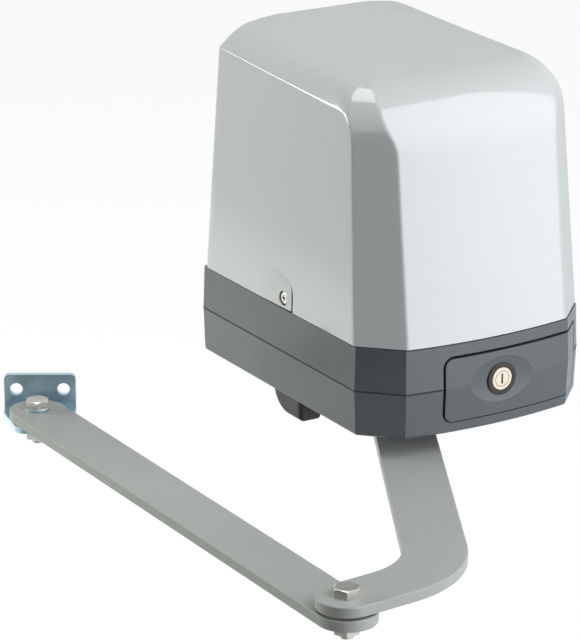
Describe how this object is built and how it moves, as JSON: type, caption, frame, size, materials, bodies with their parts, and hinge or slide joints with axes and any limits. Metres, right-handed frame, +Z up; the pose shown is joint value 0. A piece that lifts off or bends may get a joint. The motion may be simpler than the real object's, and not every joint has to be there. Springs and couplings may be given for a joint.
{
  "type": "swing gate operator",
  "caption": "Pillar-mounted swing gate operator with a tall hood on a two-part base, key-locked release door, worm gear drive, bent crank arm, straight forearm and gate bracket.",
  "frame": {"origin": "middle of the flat rear face's four pillar fixing holes, at the line where the two base halves meet", "axes": "+X right seen from the front, +Y to the rear into the pillar, +Z up"},
  "size_m": [0.3637, 0.5139, 0.3204],
  "materials": {
    "silver_paint": "silver paint over a moulded shell, satin",
    "slate_plastic": "slate grey, semi-gloss",
    "black_plastic": "near-black, fine texture",
    "rubber": "matt black",
    "arm_paint": "light grey satin paint on steel bar",
    "zinc_steel": "bluish zinc plate",
    "bright_steel": "bright zinc plate",
    "nickel": "warm nickel plate, satin",
    "gear_steel": "machined steel, oiled",
    "bronze": "bronze, machined",
    "cast_aluminium": "die cast, shot blasted",
    "motor_steel": "black painted steel",
    "sheet": "zinc plated sheet",
    "circuit": "green solder mask",
    "components": "dark blue and black parts",
    "core": "varnished laminations",
    "cells": "dark grey cases"
  },
  "bodies": {
    "housing": {"base_lower": "slate_plastic", "base_upper": "slate_plastic", "base_gasket": "rubber", "base_screws": "bright_steel", "hood": "silver_paint", "hood_screws": "bright_steel", "gearbox_case": "cast_aluminium", "gearbox_lid": "cast_aluminium", "gearbox_screws": "bright_steel", "worm_housing": "cast_aluminium", "worm_bearing": "gear_steel", "motor_body": "motor_steel", "motor_cap": "cast_aluminium", "output_bush_lower": "bronze", "output_bush_upper": "bronze", "shaft_seal": "rubber", "shaft_flange": "cast_aluminium", "pinion_bush_lower": "bronze", "pinion_bush_upper": "bronze", "equipment_plate": "sheet", "control_board": "circuit", "board_posts": "sheet", "board_parts": "components", "transformer": "core", "backup_batteries": "cells", "cable_gland": "black_plastic", "gland_nut": "black_plastic", "stop_left": "black_plastic", "stop_right": "black_plastic", "stop_bolts": "bright_steel", "stop_nuts": "bright_steel"},
    "output": {"output_shaft": "gear_steel", "output_gear": "gear_steel", "crank_arm": "arm_paint", "crank_washer": "zinc_steel", "crank_bolt": "bright_steel", "elbow_bolt": "bright_steel", "elbow_washer": "zinc_steel", "elbow_nut": "bright_steel"},
    "forearm": {"forearm": "arm_paint"},
    "bracket": {"gate_bracket": "zinc_steel", "gate_bolt": "bright_steel", "gate_washers": "zinc_steel", "gate_nut": "bright_steel"},
    "intermediate": {"pinion_shaft": "gear_steel", "worm_wheel": "bronze"},
    "rotor": {"worm_shaft": "gear_steel", "motor_rotor": "motor_steel"},
    "door": {"release_door": "slate_plastic", "door_pins": "bright_steel", "lock_bezel": "black_plastic"},
    "lock": {"lock_cylinder": "nickel", "lock_cam": "bright_steel"},
    "release": {"release_knob": "black_plastic", "release_spindle": "bright_steel"}
  },
  "joints": [
    {"name": "crank_swing", "type": "hinge", "parent": "housing", "child": "output", "pos_m": [0, -0.127, 0], "axis": [0, 0, 1], "range_deg": [-41.5, 96.5]},
    {"name": "pinion_turn", "type": "hinge", "parent": "housing", "child": "intermediate", "pos_m": [-0.05572, -0.0768, 0], "axis": [0, 0, 1], "range_deg": [-386, 166]},
    {"name": "worm_turn", "type": "hinge", "parent": "housing", "child": "rotor", "pos_m": [-0.05572, -0.0368, 0.0285], "axis": [1, 0, 0], "range_deg": [-11580, 4980]},
    {"name": "elbow_pivot", "type": "hinge", "parent": "output", "child": "forearm", "pos_m": [-0.23909, -0.43941, 0], "axis": [0, 0, 1], "range_deg": [-8, 130]},
    {"name": "gate_pivot", "type": "hinge", "parent": "forearm", "child": "bracket", "pos_m": [-0.24222, 0.00858, 0], "axis": [0, 0, 1], "range_deg": [-50, 110]},
    {"name": "door_hinge", "type": "hinge", "parent": "housing", "child": "door", "pos_m": [0.08489, -0.23539, 0], "axis": [0, 0, 1], "range_deg": [0, 90]},
    {"name": "lock_turn", "type": "hinge", "parent": "door", "child": "lock", "pos_m": [0.0085, -0.26053, 0], "axis": [-0.0212, 0.9998, 0], "range_deg": [0, 90]},
    {"name": "release_turn", "type": "hinge", "parent": "housing", "child": "release", "pos_m": [0.048, -0.212, -0.012], "axis": [0, 1, 0], "range_deg": [0, 90]}
  ],
  "couplings": [
    {"joint": "pinion_turn", "follows": "crank_swing", "ratio": -4},
    {"joint": "worm_turn", "follows": "crank_swing", "ratio": -120}
  ]
}
